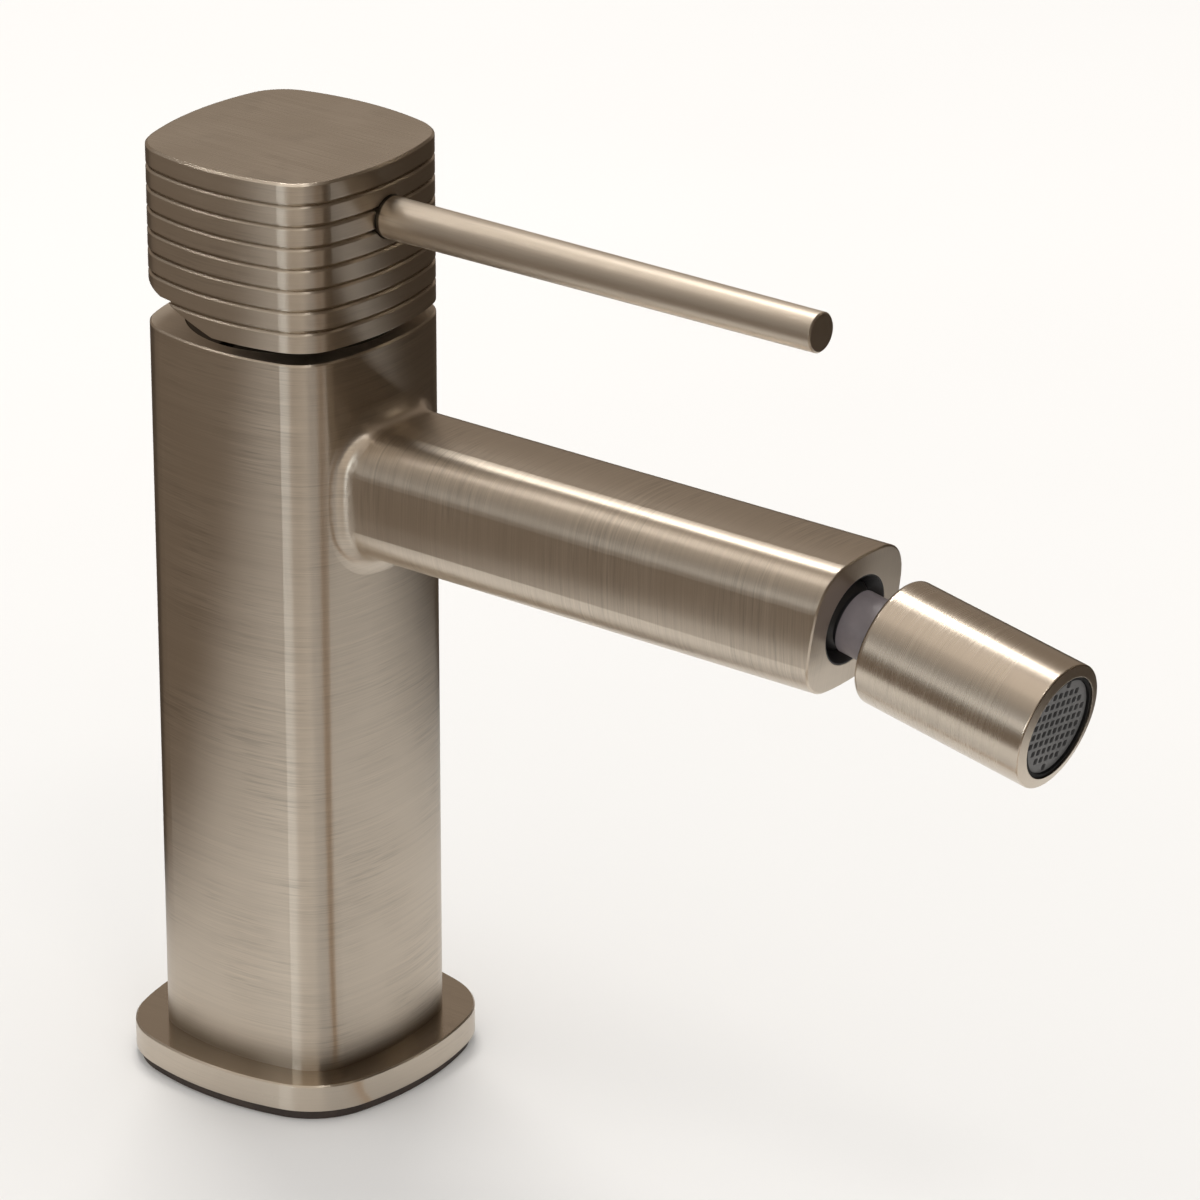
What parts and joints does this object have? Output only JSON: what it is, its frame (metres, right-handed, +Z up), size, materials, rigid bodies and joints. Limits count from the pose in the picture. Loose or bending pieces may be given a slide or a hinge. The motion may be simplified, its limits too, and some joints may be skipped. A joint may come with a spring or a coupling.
{
  "type": "bidet mixer",
  "caption": "Single-lever bidet mixer with a soft square column, a slim spout, a ball-jointed nozzle and a finned lever head.",
  "frame": {"origin": "centre of the column's foot, on the mounting face under the gasket", "axes": "+Z up along the column, -Y forward along the spout and the lever, +X to the right seen from behind"},
  "size_m": [0.0572, 0.196, 0.1802],
  "materials": {
    "brushed_nickel": "brushed",
    "gunmetal": "satin",
    "steel": "satin",
    "brass": "turned",
    "white_plastic": "matt",
    "black_plastic": "matt",
    "grey_plastic": "matt",
    "ceramic": "polished",
    "dark_rubber": "matt"
  },
  "bodies": {
    "mixer_body": {"body": "brushed_nickel", "base_flange": "brushed_nickel", "base_gasket": "dark_rubber", "cartridge_nut": "brass", "cartridge_housing": "white_plastic", "housing_seal": "dark_rubber", "cartridge_base": "white_plastic", "port_seals": "dark_rubber", "lower_disc": "ceramic", "ball_collar": "gunmetal"},
    "yoke": {"turning_yoke": "white_plastic", "yoke_seal": "dark_rubber", "spindle_pin": "steel"},
    "lever": {"lever_spindle": "steel", "handle_head": "brushed_nickel", "handle_grub_screw": "steel", "lever_rod": "brushed_nickel"},
    "disc": {"upper_disc": "ceramic", "disc_carrier": "white_plastic"},
    "seat": {"ball_seat_ring": "white_plastic"},
    "nozzle": {"swivel_ball": "gunmetal", "neck_seal": "dark_rubber", "nozzle_shell": "brushed_nickel", "aerator_washer": "dark_rubber", "aerator_insert": "black_plastic", "outlet_grid": "grey_plastic", "inlet_sieve": "steel"}
  },
  "joints": [
    {"name": "handle_turn", "type": "hinge", "parent": "mixer_body", "child": "yoke", "pos_m": [0, 0, 0.139], "axis": [0, 0, 1], "range_deg": [-45, 45]},
    {"name": "handle_lift", "type": "hinge", "parent": "yoke", "child": "lever", "pos_m": [0, 0, 0.139], "axis": [-1, 0, 0], "range_deg": [0, 18]},
    {"name": "disc_slide", "type": "slide", "parent": "yoke", "child": "disc", "axis": [0, -1, 0], "range_m": [0, 0.00273]},
    {"name": "nozzle_swivel", "type": "hinge", "parent": "mixer_body", "child": "seat", "pos_m": [0, -0.11758, 0.12047], "axis": [0, -0.9869, -0.1616], "continuous": true},
    {"name": "nozzle_tilt", "type": "hinge", "parent": "seat", "child": "nozzle", "pos_m": [0, -0.11758, 0.12047], "axis": [1, 0, 0], "range_deg": [-16, 12]}
  ],
  "couplings": [
    {"joint": "disc_slide", "follows": "handle_lift", "m_per_rad": 0.008656}
  ]
}
